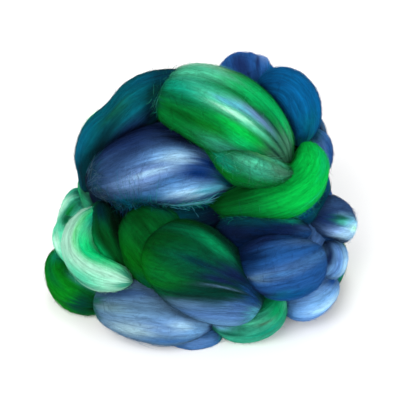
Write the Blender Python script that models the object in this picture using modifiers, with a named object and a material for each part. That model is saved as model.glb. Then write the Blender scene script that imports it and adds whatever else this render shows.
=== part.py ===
# Wool roving: a thick strand of combed fibre, chained into a loose braid and wound into a bun
# of two tiers. It is one body. Each leg of the chain is a fat spindle on its own bent path, and
# the legs are fused where they press on each other. Metres, +Z up; the bun stands on z = 0 and
# its front faces -Y.

import math
from collections import namedtuple

import bmesh
import bpy
from mathutils import Matrix, Vector

MM = 0.001

# Driving dimensions, in millimetres.
TIER_HEART = {"low": (0, 4, 2), "top": (2, 22, 78)}
CORE_HEART = (0, 16, -300)
AROUND = 32
ALONG = 26
TAPER_POWER = 2.2
RIDGE_HEIGHT = 0.035
BEND_CLOSING = 1.25
SKIN_VOXEL = 2.4
SMOOTH_STEPS = 4
SKIN_TRIANGLES = 9000
FLOOR_SIZE = 400
FLOOR_DEPTH = 100

DYE_COLOR = (0.01, 0.16, 0.17, 1.0)
WOOL_ROUGHNESS = 0.85

# A leg runs from its start tip over its middle to its end tip, in millimetres. Width lies along
# the bun's surface and depth points out of it. A small tip number is blunt, a large one pointed.
# Ridges counts the soft rolls that run along the leg.
Leg = namedtuple("Leg", "name tier start middle end width depth start_tip end_tip ridges")

FRONT_LEGS = [
    Leg("upper_left_belly", "top", (-72, -9, 83), (-26, -14, 97), (21, -26, 92), 61, 48, 0.6, 0.72, 4),
    Leg("under_left_belly", "top", (-50, -20, 71), (-8, -35, 75), (25, -30, 86), 20, 24, 0.7, 0.7, 0),
    Leg("upper_right_belly", "top", (-30, 15, 137), (14, -2, 129), (56, -26, 106), 62, 48, 0.5, 0.75, 6),
    Leg("under_right_belly", "top", (-3, -13, 120), (31, -29, 110), (58, -37, 111), 27, 34, 1.1, 0.7, 0),
    Leg("upper_right_bend", "top", (64, -6, 112), (55, -33, 98), (2, -32, 80), 33, 34, 0.55, 0.5, 0),
    Leg("upper_left_crown", "top", (-68, 3, 64), (-51, 8, 117), (-2, 18, 147), 37, 38, 0.55, 0.55, 0),
    Leg("upper_right_crown", "top", (35, 22, 133), (55, 16, 130), (63, 4, 104), 40, 38, 0.6, 0.6, 5),
    Leg("upper_right_rim", "top", (67, 19, 109), (73, 15, 92), (71, 9, 74), 38, 26, 0.65, 0.65, 0),
    Leg("lower_middle_belly", "low", (-34, -49, 67), (-4, -61, 56), (35, -65, 26), 56, 46, 0.5, 0.42, 4),
    Leg("behind_middle_belly", "low", (-45, -29, 74), (-27, -46, 61), (-4, -59, 33), 53, 40, 0.5, 0.6, 0),
    Leg("lower_right_belly", "low", (20, -50, 57), (49, -59, 59), (72, -49, 52), 44, 44, 0.7, 0.42, 5),
    Leg("over_right_belly", "low", (6, -38, 69), (37, -43, 72), (69, -34, 65), 32, 32, 0.6, 0.6, 0),
    Leg("lower_left_bend", "low", (-59, -27, 82), (-68, -45, 58), (-41, -62, 47), 35, 34, 0.75, 0.5, 3),
    Leg("under_left_bend", "low", (-60, -20, 80), (-56, -38, 65), (-41, -54, 46), 29, 32, 0.6, 0.7, 0),
    Leg("bottom_left_front", "low", (-65, -50, 22), (-32, -61, 23), (9, -58, 8), 45, 40, 0.5, 0.7, 4),
    Leg("bottom_front", "low", (-27, -60, 9), (-5, -60, 3), (16, -56, 4), 20, 24, 0.7, 0.6, 0),
    Leg("bottom_middle_front", "low", (5, -56, 10), (34, -57, 18), (50, -52, 33), 34, 34, 0.6, 0.6, 0),
    Leg("bottom_right_front", "low", (49, -50, 20), (69, -44, 22), (87, -27, 26), 28, 30, 0.6, 0.7, 0),
    Leg("lower_right_bend", "low", (77, -22, 50), (80, -28, 40), (74, -36, 27), 28, 30, 0.6, 0.7, 0),
    Leg("lower_right_rim", "low", (64, -22, 76), (79, -16, 62), (94, -9, 44), 30, 36, 0.7, 0.45, 0),
    Leg("bottom_left_rim", "low", (-80, -2, 31), (-82, -18, 17), (-59, -40, 11), 38, 38, 0.55, 0.6, 0),
    Leg("lower_left_rim", "low", (-70, 14, 62), (-80, 14, 44), (-82, 12, 24), 44, 28, 0.65, 0.6, 0),
]

BACK_LEGS = [
    Leg("crown_cross", "top", (30, 34, 114), (32, 56, 121), (32, 82, 100), 45, 40, 0.55, 0.55, 4),
    Leg("crown_back", "top", (-46, 30, 110), (-12, 46, 110), (26, 40, 110), 46, 40, 0.6, 0.6, 4),
    Leg("upper_left_side", "top", (-46, 34, 112), (-60, 30, 92), (-62, 22, 68), 46, 36, 0.55, 0.5, 4),
    Leg("upper_right_side", "top", (50, 30, 116), (64, 30, 97), (65, 22, 78), 40, 36, 0.6, 0.6, 4),
    Leg("upper_back_left", "top", (-58, 20, 92), (-34, 56, 92), (20, 64, 84), 48, 42, 0.6, 0.5, 4),
    Leg("upper_back_right", "top", (12, 72, 84), (46, 60, 96), (58, 26, 92), 42, 40, 0.6, 0.6, 4),
    Leg("middle_back_left", "top", (-66, 12, 78), (-46, 56, 72), (6, 70, 72), 44, 42, 0.6, 0.5, 4),
    Leg("middle_back_right", "top", (4, 72, 72), (52, 62, 72), (68, 20, 76), 38, 38, 0.6, 0.6, 4),
    Leg("middle_right_side", "top", (56, 30, 82), (67, -4, 80), (52, -40, 76), 34, 34, 0.5, 0.5, 4),
    Leg("lower_left_inner", "low", (-80, 14, 50), (-78, -8, 40), (-66, -34, 36), 34, 34, 0.6, 0.6, 0),
    Leg("lower_left_side", "low", (-52, -22, 69), (-60, 24, 59), (-50, 62, 38), 44, 42, 0.5, 0.6, 4),
    Leg("lower_back", "low", (-62, 44, 62), (-16, 78, 56), (32, 72, 36), 50, 42, 0.6, 0.6, 4),
    Leg("lower_back_right", "low", (14, 76, 62), (54, 56, 58), (72, 20, 40), 46, 42, 0.6, 0.6, 4),
    Leg("lower_right_side", "low", (56, 42, 62), (65, 6, 60), (61, -42, 49), 46, 42, 0.5, 0.5, 4),
    Leg("bottom_left_side", "low", (-76, -8, 12), (-76, 28, 20), (-54, 60, 38), 42, 40, 0.6, 0.6, 4),
    Leg("bottom_back", "low", (-66, 50, 14), (-18, 80, 18), (32, 74, 34), 46, 42, 0.6, 0.6, 4),
    Leg("bottom_back_right", "low", (10, 80, 12), (58, 62, 18), (76, 24, 36), 44, 42, 0.6, 0.6, 4),
    Leg("bottom_right_side", "low", (70, 38, 12), (78, 2, 19), (68, -38, 18), 40, 38, 0.5, 0.5, 4),
]

# The inner turns, which fill both tiers behind the legs that show.
INNER_LEGS = [
    Leg("inner_low", "core", (-78, 8, 36), (0, 8, 36), (78, 8, 36), 116, 84, 0.4, 0.4, 0),
    Leg("inner_middle", "core", (-72, 2, 76), (0, 4, 78), (72, 2, 76), 84, 50, 0.4, 0.4, 0),
    Leg("inner_top", "core", (-56, 24, 88), (0, 24, 88), (56, 24, 88), 80, 80, 0.4, 0.4, 0),
]


def clear_objects():
    for thing in list(bpy.data.objects):
        bpy.data.objects.remove(thing, do_unlink=True)


def new_collection(name):
    collection = bpy.data.collections.new(name)
    bpy.context.scene.collection.children.link(collection)
    return collection


def wool_material(name):
    material = bpy.data.materials.new(name)
    material.use_nodes = True
    shader = material.node_tree.nodes["Principled BSDF"]
    shader.inputs["Base Color"].default_value = DYE_COLOR
    shader.inputs["Roughness"].default_value = WOOL_ROUGHNESS
    shader.inputs["Metallic"].default_value = 0.0
    return material


def path_point(leg, t):
    # A quadratic curve that passes through the middle point halfway along.
    start, middle, end = Vector(leg.start), Vector(leg.middle), Vector(leg.end)
    bend = 2 * middle - (start + end) / 2
    return (1 - t) ** 2 * start + 2 * t * (1 - t) * bend + t ** 2 * end


def path_slope(leg, t):
    start, middle, end = Vector(leg.start), Vector(leg.middle), Vector(leg.end)
    bend = 2 * middle - (start + end) / 2
    return (2 * (1 - t) * (bend - start) + 2 * t * (end - bend)).normalized()


def path_turn(leg, t):
    # Curvature of the path, pointing into its bend. It is one over the radius.
    start, middle, end = Vector(leg.start), Vector(leg.middle), Vector(leg.end)
    bend = 2 * middle - (start + end) / 2
    speed = 2 * (1 - t) * (bend - start) + 2 * t * (end - bend)
    pull = 2 * (start - 2 * bend + end)
    slope = speed.normalized()
    return (pull - pull.dot(slope) * slope) / speed.length_squared


def fatness(leg, t):
    # One at the middle and nothing at both tips.
    away = abs(2 * t - 1)
    tip = leg.start_tip if t < 0.5 else leg.end_tip
    return max(0.0, 1 - away ** TAPER_POWER) ** tip


def leg_point(leg, t, angle):
    # Out of the tier's heart at angle 0, along the bun's surface at a quarter turn. The side that
    # faces into a bend is drawn in, so that the leg does not fold over itself.
    centre = path_point(leg, t)
    slope = path_slope(leg, t)
    heart = Vector(TIER_HEART.get(leg.tier, CORE_HEART))
    outward = centre - heart
    outward = (outward - outward.dot(slope) * slope).normalized()
    across = slope.cross(outward)
    reach = fatness(leg, t) * (1 + (RIDGE_HEIGHT * math.cos(leg.ridges * angle) if leg.ridges else 0))
    side = leg.width / 2 * reach * math.sin(angle)
    rise = leg.depth / 2 * reach * math.cos(angle)
    turn = path_turn(leg, t)
    side = side / (1 + BEND_CLOSING * max(0.0, side * turn.dot(across)))
    rise = rise / (1 + BEND_CLOSING * max(0.0, rise * turn.dot(outward)))
    return centre + side * across + rise * outward


def add_leg(mesh, leg):
    # A ball whose height becomes the way along the leg.
    ball = bmesh.ops.create_uvsphere(mesh, u_segments=AROUND, v_segments=ALONG, radius=1)
    for corner in ball["verts"]:
        t = min(1.0, max(0.0, (corner.co.z + 1) / 2))
        angle = math.atan2(corner.co.y, corner.co.x)
        corner.co = leg_point(leg, t, angle) * MM


def legs_object(legs, collection):
    mesh = bmesh.new()
    for leg in legs:
        add_leg(mesh, leg)
    bmesh.ops.recalc_face_normals(mesh, faces=mesh.faces)
    data = bpy.data.meshes.new("legs")
    mesh.to_mesh(data)
    mesh.free()
    thing = bpy.data.objects.new("legs", data)
    collection.objects.link(thing)
    return thing


def fused_skin(thing):
    # One skin around all the legs, softened and thinned out.
    remesh = thing.modifiers.new("fuse", "REMESH")
    remesh.mode = "VOXEL"
    remesh.voxel_size = SKIN_VOXEL * MM
    soften = thing.modifiers.new("soften", "SMOOTH")
    soften.factor = 0.5
    soften.iterations = SMOOTH_STEPS
    return evaluated_mesh(thing)


def evaluated_mesh(thing):
    depsgraph = bpy.context.evaluated_depsgraph_get()
    return bpy.data.meshes.new_from_object(thing.evaluated_get(depsgraph))


def outer_shell(data):
    # Sealed gaps between the legs leave small inner shells, and only the largest shell is kept.
    mesh = bmesh.new()
    mesh.from_mesh(data)
    mesh.verts.ensure_lookup_table()
    unseen = set(mesh.verts)
    shells = []
    while unseen:
        edge_of_search = [unseen.pop()]
        shell = set(edge_of_search)
        while edge_of_search:
            corner = edge_of_search.pop()
            for edge in corner.link_edges:
                other = edge.other_vert(corner)
                if other in unseen:
                    unseen.remove(other)
                    shell.add(other)
                    edge_of_search.append(other)
        shells.append(shell)
    largest = max(shells, key=len)
    spare = [corner for shell in shells if shell is not largest for corner in shell]
    bmesh.ops.delete(mesh, geom=spare, context="VERTS")
    mesh.to_mesh(data)
    mesh.free()
    return data


def floor_cutter(collection):
    # Everything below the surface on which the bun rests.
    mesh = bmesh.new()
    lower = Vector((0, 0, -FLOOR_DEPTH / 2)) * MM
    size = Matrix.Diagonal((FLOOR_SIZE * MM, FLOOR_SIZE * MM, FLOOR_DEPTH * MM, 1))
    bmesh.ops.create_cube(mesh, size=1, matrix=Matrix.Translation(lower) @ size)
    data = bpy.data.meshes.new("floor_cutter")
    mesh.to_mesh(data)
    mesh.free()
    cutter = bpy.data.objects.new("floor_cutter", data)
    cutter.hide_render = True
    cutter.display_type = "WIRE"
    collection.objects.link(cutter)
    return cutter


def build_roving():
    parts = new_collection("wool_roving")
    cutters = new_collection("cutters")
    legs = legs_object(FRONT_LEGS + BACK_LEGS + INNER_LEGS, cutters)
    data = outer_shell(fused_skin(legs))
    bpy.data.objects.remove(legs, do_unlink=True)
    data.name = "roving"
    roving = bpy.data.objects.new("roving", data)
    parts.objects.link(roving)
    data.materials.clear()
    data.materials.append(wool_material("dyed_wool"))

    thin = roving.modifiers.new("thin", "DECIMATE")
    thin.ratio = SKIN_TRIANGLES / (2 * len(data.polygons))
    thin.use_collapse_triangulate = True
    flat = roving.modifiers.new("flat_base", "BOOLEAN")
    flat.operation = "DIFFERENCE"
    flat.solver = "EXACT"
    flat.object = floor_cutter(cutters)
    data.shade_smooth()
    return roving


clear_objects()
build_roving()
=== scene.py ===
# Wool roving: a long strand of combed, hand dyed wool, chained into a loose braid and wound into a bun.
# Each leg of the chain is a fat spindle of fibre. Its shape, its dye with painted shade and its fuzz are
# worked out here.
import math

import bpy
import numpy as np
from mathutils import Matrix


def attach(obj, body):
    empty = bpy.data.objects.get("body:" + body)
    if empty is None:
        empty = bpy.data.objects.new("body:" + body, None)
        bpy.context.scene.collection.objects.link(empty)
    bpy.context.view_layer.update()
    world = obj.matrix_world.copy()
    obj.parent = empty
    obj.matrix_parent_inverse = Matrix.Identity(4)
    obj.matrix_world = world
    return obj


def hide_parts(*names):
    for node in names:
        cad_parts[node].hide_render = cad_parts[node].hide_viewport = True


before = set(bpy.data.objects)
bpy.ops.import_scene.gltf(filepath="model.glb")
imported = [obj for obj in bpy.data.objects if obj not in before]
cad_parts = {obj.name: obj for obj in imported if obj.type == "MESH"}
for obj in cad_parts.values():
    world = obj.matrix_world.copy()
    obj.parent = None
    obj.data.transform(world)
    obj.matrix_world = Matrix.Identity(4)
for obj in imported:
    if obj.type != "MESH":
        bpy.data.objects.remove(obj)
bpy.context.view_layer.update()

mm = 0.001

# the dye pots, as screen colours from 0 to 255
dyes = {
    "kelly": (4, 194, 74), "leaf": (6, 126, 26), "grass": (4, 112, 46), "forest": (2, 74, 24),
    "pine": (4, 100, 62), "fern": (14, 92, 74), "moss": (2, 34, 18), "bottle": (4, 60, 50),
    "spring": (118, 224, 150), "emerald": (18, 216, 136), "mint": (86, 208, 166), "pale": (178, 238, 212),
    "sea": (52, 160, 130), "sage": (76, 138, 110), "foam": (12, 156, 126), "lagoon": (7, 80, 134),
    "azure": (8, 104, 164), "teal": (4, 96, 112), "deepTeal": (4, 58, 70), "ink": (8, 20, 46),
    "navy": (22, 42, 88), "dusk": (46, 74, 116), "royal": (34, 86, 150), "deepRoyal": (4, 48, 112),
    "denim": (64, 100, 150), "steel": (64, 116, 174), "slate": (92, 130, 164),
    "cornflower": (94, 140, 200), "sky": (120, 176, 228), "fog": (150, 186, 202), "ice": (170, 214, 242),
    "aqua": (92, 184, 210), "lavender": (112, 146, 200), "haze": (104, 140, 184), "mist": (104, 140, 154),
    "ocean": (4, 108, 140), "jade": (6, 150, 92), "vivid": (8, 240, 140), "clover": (8, 196, 106),
    "night": (6, 30, 66), "cobalt": (30, 96, 180),
}

# One entry for each leg of the chain, in millimetres and degrees. Its path runs from the start tip over
# the middle to the end tip. Wide lies along the bun's surface and deep points out of it, and a small tip
# number is blunt. A dent is (along, around, depth, length) and a groove (around, depth, breadth).
# Twist turns the fibres about the leg and fan gathers them. Fuzzy scales the loose fibres. Strength scales
# the dye, partly for the wool's own tone and partly as painted light for how the lamps reach the leg, and
# shade scales the painted shade in the creases. A splash of dye is (pot, along, around, length, breadth).
# Along and length are shares of the leg, and around is 0 where the leg faces outward.
legs = {
    "upperLeftBelly": {
        "tier": "top", "path": [(-72, -9, 83), (-26, -14, 97), (21, -26, 92)], "wide": 61, "deep": 48,
        "tips": (0.6, 0.72), "grooves": [(-4, 1.0, 5), (-42, 0.8, 9), (30, 0.6, 8)], "twist": 72,
        "fuzzy": 1.4, "shade": 0.6, "base": "denim",
        "dyeAndShading": [("navy", 0.4, -64, 0.5, 26), ("navy", 0.3, -34, 0.24, 24), ("dusk", 0.2, -6, 0.18, 18),
            ("cornflower", 0.56, -20, 0.15, 14), ("sky", 0.63, -29, 0.12, 11),
            ("ice", 0.65, -25, 0.09, 10), ("dusk", 0.18, 26, 0.12, 24), ("haze", 0.44, 7, 0.21, 13),
            ("lavender", 0.48, 0, 0.17, 11), ("ice", 0.53, -5, 0.12, 3), ("navy", 0.44, -9, 0.14, 1.2),
            ("steel", 0.62, 8, 0.1, 9), ("deepRoyal", 0.8, -14, 0.11, 12),
            # the ink splash at around -62 on the right half is painted shade along the crease at its top
            ("deepRoyal", 0.84, -36, 0.1, 12), ("ink", 0.7, -62, 0.2, 12), ("sky", 0.7, 18, 0.17, 12),
            ("ice", 0.72, 22, 0.12, 6), ("ice", 0.8, 26, 0.09, 8), ("aqua", 0.86, 14, 0.08, 12),
            ("steel", 0.46, 36, 0.12, 10), ("ocean", 0.3, 58, 0.26, 14), ("deepTeal", 0.8, 54, 0.2, 14),
            ("aqua", 0.93, 4, 0.06, 12), ("teal", 0.96, -24, 0.07, 20),
            ("deepTeal", 0.02, 0, 0.11, 120), ("ink", 0, 0, 0.07, 120)]},
    "underLeftBelly": {
        "tier": "top", "path": [(-50, -20, 71), (-8, -35, 75), (25, -30, 86)], "wide": 20, "deep": 24,
        "tips": (0.7, 0.7), "strength": 0.6, "shade": 0.3, "base": "teal",
        "dyeAndShading": [("lagoon", 0.2, 0, 0.2, 60), ("ocean", 0.42, 0, 0.12, 40), ("ink", 0.76, 0, 0.24, 150)]},
    "upperRightBelly": {
        "tier": "top", "path": [(-30, 15, 137), (14, -2, 129), (56, -26, 106)], "wide": 62, "deep": 48,
        "tips": (0.5, 0.75), "grooves": [(-6, 1.6, 4), (24, 1.0, 5), (-36, 0.7, 9), (62, 0.6, 8)],
        "fuzzy": 1.5, "strength": 1.12, "shade": 0.5, "base": "grass",
        "dyeAndShading": [("clover", 0.64, -27, 0.24, 17), ("pale", 0.22, -38, 0.17, 16),
            ("mint", 0.26, -26, 0.2, 14), ("mint", 0.2, -12, 0.16, 8), ("foam", 0.26, 14, 0.25, 18),
            ("sea", 0.24, 0, 0.15, 4), ("bottle", 0.18, 34, 0.12, 6), ("mint", 0.52, 12, 0.18, 11),
            ("haze", 0.68, 5, 0.15, 6), ("aqua", 0.54, 8, 0.09, 4), ("mint", 0.66, 20, 0.18, 6),
            ("pale", 0.57, 18, 0.12, 3.2), ("kelly", 0.66, 37, 0.17, 9), ("grass", 0.34, 50, 0.22, 18),
            ("forest", 0.3, 57, 0.2, 9), ("pine", 0.24, 34, 0.14, 9), ("grass", 0.52, 44, 0.12, 6),
            ("leaf", 0.56, 58, 0.16, 10), ("clover", 0.74, 52, 0.12, 10), ("grass", 0.2, 80, 0.2, 14),
            ("sea", 0.7, 74, 0.2, 14), ("clover", 0.82, -30, 0.1, 14), ("sage", 0.91, -14, 0.08, 26),
            ("sage", 0.93, 34, 0.09, 34), ("bottle", 0.8, -2, 0.15, 2.2), ("bottle", 0.86, 14, 0.1, 2),
            ("bottle", 0.9, 28, 0.08, 2.6), ("bottle", 0.84, -20, 0.12, 1.8),
            ("sea", 0.06, -14, 0.07, 22), ("fern", 0.03, 44, 0.07, 40)]},
    "underRightBelly": {
        "tier": "top", "path": [(-3, -13, 120), (31, -29, 110), (58, -37, 111)], "wide": 27, "deep": 34,
        "tips": (1.1, 0.7), "grooves": [(20, 0.5, 10)], "fuzzy": 2.5, "strength": 0.95, "shade": 0.15,
        "base": "grass",
        "dyeAndShading": [("foam", 0.3, 36, 0.12, 24), ("sea", 0.62, 0, 0.26, 40), ("mint", 0.52, 0, 0.14, 12),
            # the spring and mint splashes at around -56 are partly the wool's own mint and partly painted
            # light, lifting the shadow of the belly above
            ("grass", 0.5, 58, 0.18, 16), ("sage", 0.84, -10, 0.14, 26), ("spring", 0.6, -56, 0.2, 26),
            ("mint", 0.8, -58, 0.12, 24), ("grass", 0.78, 46, 0.2, 14), ("leaf", 0.3, 66, 0.14, 12)]},
    "upperRightBend": {
        "tier": "top", "path": [(64, -6, 112), (55, -33, 98), (2, -32, 80)], "wide": 33, "deep": 34,
        "tips": (0.55, 0.5), "grooves": [(5, 0.5, 9), (38, 0.4, 9)], "strength": 0.95, "shade": 0.6,
        "base": "kelly",
        "dyeAndShading": [("clover", 0.2, 8, 0.1, 24), ("clover", 0.4, -24, 0.1, 8), ("grass", 0.8, 10, 0.2, 120),
            ("forest", 0.82, 66, 0.14, 32), ("forest", 0.98, 20, 0.14, 120),
            ("forest", 0.3, 104, 0.2, 12)]},
    "upperLeftCrown": {
        "tier": "top", "path": [(-68, 3, 64), (-51, 8, 117), (-2, 18, 147)], "wide": 37, "deep": 38,
        "tips": (0.55, 0.55), "dents": [(0.55, -5, 5, 0.1), (0.14, 0, 3, 0.05)],
        "grooves": [(12, 0.8, 12), (50, 0.7, 10)], "strength": 1.05, "base": "teal",
        "dyeAndShading": [("ocean", 0.3, 10, 0.17, 20), ("fern", 0.56, 40, 0.1, 18), ("ocean", 0.84, 4, 0.11, 20),
            ("fern", 0.85, 52, 0.08, 20), ("ink", 0.36, 64, 0.15, 11), ("ink", 0.6, 96, 0.2, 18),
            ("deepTeal", 0.44, 52, 0.18, 14), ("navy", 0.5, 80, 0.2, 14), ("ocean", 0.9, 14, 0.12, 34),
            ("deepTeal", 0, 0, 0.1, 90)]},
    "upperRightCrown": {
        "tier": "top", "path": [(35, 22, 133), (55, 16, 130), (63, 4, 104)], "wide": 40, "deep": 38,
        "tips": (0.6, 0.6), "grooves": [(28, 0.8, 10), (60, 0.8, 10), (-10, 0.8, 10)], "strength": 0.93,
        "base": "azure",
        "dyeAndShading": [("lagoon", 0.2, 50, 0.24, 26), ("lagoon", 0.14, 12, 0.14, 16),
            ("azure", 0.5, 26, 0.14, 12), ("ocean", 0.8, 40, 0.12, 26), ("foam", 0.98, 30, 0.05, 60)]},
    "upperRightRim": {
        "tier": "top", "path": [(67, 19, 109), (73, 15, 92), (71, 9, 74)], "wide": 38, "deep": 26,
        "tips": (0.65, 0.65), "grooves": [(10, 0.6, 14)], "strength": 1.4, "shade": 0.5, "base": "denim",
        "dyeAndShading": [("teal", 0.06, 20, 0.16, 60), ("steel", 0.22, 10, 0.1, 20), ("royal", 0.45, 24, 0.2, 16)]},
    "lowerMiddleBelly": {
        "tier": "low", "path": [(-34, -49, 67), (-4, -61, 56), (35, -65, 26)], "wide": 56, "deep": 46,
        "tips": (0.5, 0.42), "grooves": [(-16, 0.7, 8), (18, 0.5, 9), (44, 0.5, 9), (-52, 0.5, 8)],
        "twist": 60, "fan": 2.2, "strength": 0.77, "shade": 0.22, "base": "bottle",
        "dyeAndShading": [("forest", 0.14, 0, 0.26, 100), ("leaf", 0.18, 50, 0.26, 30),
            ("grass", 0.3, 34, 0.18, 14), ("leaf", 0.08, 50, 0.1, 36), ("pine", 0.42, -8, 0.2, 16),
            ("pine", 0.34, -42, 0.24, 12), ("jade", 0.52, -42, 0.14, 9),
            ("deepTeal", 0.5, -12, 0.14, 6), ("forest", 0.2, -70, 0.3, 14),
            ("bottle", 0.6, 10, 0.14, 12), ("navy", 0.7, -24, 0.13, 10), ("navy", 0.66, -8, 0.12, 4),
            ("slate", 0.66, 2, 0.13, 1.6), ("pine", 0.38, 64, 0.08, 12), ("slate", 0.54, 62, 0.14, 14),
            ("cornflower", 0.72, 50, 0.19, 24), ("cornflower", 0.86, 16, 0.09, 24),
            ("royal", 0.86, -16, 0.06, 20), ("sky", 0.8, 60, 0.16, 14), ("aqua", 0.97, 20, 0.05, 60)]},
    "behindMiddleBelly": {
        "tier": "low", "path": [(-45, -29, 74), (-27, -46, 61), (-4, -59, 33)], "wide": 53, "deep": 40,
        "tips": (0.5, 0.6), "grooves": [(5, 0.5, 10)], "strength": 0.76, "shade": 0.3, "base": "grass",
        "dyeAndShading": [("moss", 0, 0, 0.13, 110), ("forest", 0.22, -14, 0.16, 22),
            ("deepTeal", 0.18, -64, 0.18, 18), ("leaf", 0.5, 38, 0.3, 28), ("pine", 0.72, 50, 0.1, 14)]},
    "lowerRightBelly": {
        "tier": "low", "path": [(20, -50, 57), (49, -59, 59), (72, -49, 52)], "wide": 44, "deep": 44,
        "tips": (0.7, 0.42), "grooves": [(-22, 0.6, 8), (6, 0.5, 8), (34, 0.5, 8), (-50, 0.6, 8)],
        "twist": 95, "fuzzy": 1.4, "shade": 0.5, "base": "royal",
        "dyeAndShading": [("night", 0.2, -4, 0.16, 60), ("navy", 0.34, -40, 0.2, 28),
            ("denim", 0.7, -46, 0.2, 12), ("night", 0.28, 6, 0.1, 10), ("denim", 0.44, 30, 0.18, 12),
            ("denim", 0.62, 8, 0.18, 12), ("slate", 0.34, 42, 0.08, 8), ("steel", 0.52, 22, 0.12, 5),
            ("steel", 0.74, -8, 0.14, 9), ("lagoon", 0.6, 68, 0.2, 12), ("ocean", 0.46, 70, 0.12, 11),
            ("steel", 0.84, -14, 0.08, 14), ("deepRoyal", 0.93, 26, 0.06, 20),
            ("royal", 0.88, 22, 0.08, 30), ("navy", 0.3, 84, 0.2, 18)]},
    "overRightBelly": {
        "tier": "low", "path": [(6, -38, 69), (37, -43, 72), (69, -34, 65)], "wide": 32, "deep": 32,
        "tips": (0.6, 0.6), "grooves": [(5, 0.5, 10), (34, 0.5, 10)], "fuzzy": 1.6, "strength": 1.35,
        "shade": 0.4, "base": "night",
        # its night base and ink splash are partly the wool's own navy and partly painted shade under the
        # bend above it
        "dyeAndShading": [("ink", 0.26, 24, 0.2, 34), ("deepTeal", 0.4, -6, 0.26, 14),
            ("navy", 0.74, 24, 0.16, 24), ("dusk", 0.86, 10, 0.1, 18), ("moss", 0.04, 0, 0.09, 70),
            ("royal", 0.9, 34, 0.12, 22), ("foam", 0.7, -12, 0.12, 8)]},
    "lowerLeftBend": {
        "tier": "low", "path": [(-59, -27, 82), (-68, -45, 58), (-41, -62, 47)], "wide": 35, "deep": 34,
        "tips": (0.75, 0.5), "grooves": [(-34, 0.5, 7), (2, 0.5, 9)], "strength": 0.92, "shade": 0.25,
        "base": "pale",
        "dyeAndShading": [("foam", 0.04, 0, 0.06, 80), ("emerald", 0.12, -26, 0.11, 34),
            ("spring", 0.3, -18, 0.16, 10), ("emerald", 0.56, -38, 0.48, 17),
            ("emerald", 0.58, -66, 0.5, 28), ("vivid", 0.6, -56, 0.3, 12),
            ("foam", 0.12, -56, 0.16, 24), ("mint", 0.7, 30, 0.19, 26), ("sea", 0.66, 58, 0.16, 16),
            ("sea", 1, 0, 0.07, 120)]},
    "underLeftBend": {
        "tier": "low", "path": [(-60, -20, 80), (-56, -38, 65), (-41, -54, 46)], "wide": 29, "deep": 32,
        "tips": (0.6, 0.7), "grooves": [(0, 0.5, 10)], "strength": 0.76, "shade": 0.5, "base": "grass",
        # the ink splash along its top, at around -84, is painted shade of the crease under the upper tier
        "dyeAndShading": [("ink", 0.15, -84, 0.3, 36), ("deepTeal", 0.2, -30, 0.2, 30),
            ("foam", 0.24, 10, 0.13, 14), ("forest", 0.6, -14, 0.16, 18), ("vivid", 0.66, 24, 0.26, 22),
            ("ink", 0, -60, 0.12, 70), ("moss", 0.5, -62, 0.5, 22), ("forest", 0.88, -14, 0.1, 30)]},
    "bottomLeftFront": {
        "tier": "low", "path": [(-65, -50, 22), (-32, -61, 23), (9, -58, 8)], "wide": 45, "deep": 40,
        "tips": (0.5, 0.7), "grooves": [(-30, 0.6, 8), (4, 0.4, 8), (34, 0.4, 8)], "twist": 40,
        "shade": 0.6, "base": "slate",
        "dyeAndShading": [("fern", 0.04, 0, 0.07, 60), ("fern", 0.12, -20, 0.08, 16),
            ("denim", 0.34, -44, 0.2, 10), ("mist", 0.24, -14, 0.14, 9), ("haze", 0.5, 4, 0.14, 12),
            ("fog", 0.38, 20, 0.17, 17), ("cornflower", 0.72, -12, 0.18, 18),
            ("ice", 0.73, -13, 0.11, 11), ("steel", 0.72, 24, 0.2, 9), ("sky", 0.85, -12, 0.1, 24),
            ("cornflower", 0.96, 0, 0.06, 40)]},
    "bottomFront": {
        "tier": "low", "path": [(-27, -60, 9), (-5, -60, 3), (16, -56, 4)], "wide": 20, "deep": 24,
        "tips": (0.7, 0.6), "strength": 1.0, "shade": 0.3, "base": "steel",
        "dyeAndShading": [("cornflower", 0.5, -20, 0.3, 30), ("foam", 0.97, 0, 0.07, 60)]},
    "bottomMiddleFront": {
        "tier": "low", "path": [(5, -56, 10), (34, -57, 18), (50, -52, 33)], "wide": 34, "deep": 34,
        "tips": (0.6, 0.6), "grooves": [(-8, 0.6, 9), (26, 0.5, 9)], "strength": 1.22, "shade": 0.5,
        "base": "sea",
        "dyeAndShading": [("sky", 0.1, -20, 0.16, 16), ("fern", 0.2, 6, 0.16, 7), ("mint", 0.5, -22, 0.2, 9),
            ("jade", 0.85, -20, 0.16, 50), ("jade", 0.8, -62, 0.16, 20), ("foam", 0.56, 20, 0.2, 9),
            ("sage", 0.62, -8, 0.12, 5), ("mint", 0.92, 24, 0.06, 24)]},
    "bottomRightFront": {
        "tier": "low", "path": [(49, -50, 20), (69, -44, 22), (87, -27, 26)], "wide": 28, "deep": 30,
        "tips": (0.6, 0.7), "grooves": [(-12, 0.5, 10)], "strength": 1.25, "shade": 0.4,
        "base": "cornflower",
        "dyeAndShading": [("steel", 0.12, 20, 0.12, 70), ("sky", 0.54, 0, 0.3, 40), ("ice", 0.6, 14, 0.22, 14),
            ("cobalt", 0.88, -40, 0.14, 13)]},
    "lowerRightBend": {
        "tier": "low", "path": [(77, -22, 50), (80, -28, 40), (74, -36, 27)], "wide": 28, "deep": 30,
        "tips": (0.6, 0.7), "grooves": [(10, 0.6, 12)], "strength": 1.2, "shade": 0.6, "base": "sky",
        "dyeAndShading": [("navy", 0.08, 34, 0.26, 50), ("navy", 0.5, 62, 0.45, 16),
            ("cornflower", 0.5, 32, 0.4, 14), ("ice", 0.56, -5, 0.2, 17), ("royal", 0.96, 0, 0.08, 50)]},
    "lowerRightRim": {
        "tier": "low", "path": [(64, -22, 76), (79, -16, 62), (94, -9, 44)], "wide": 30, "deep": 36,
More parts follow.
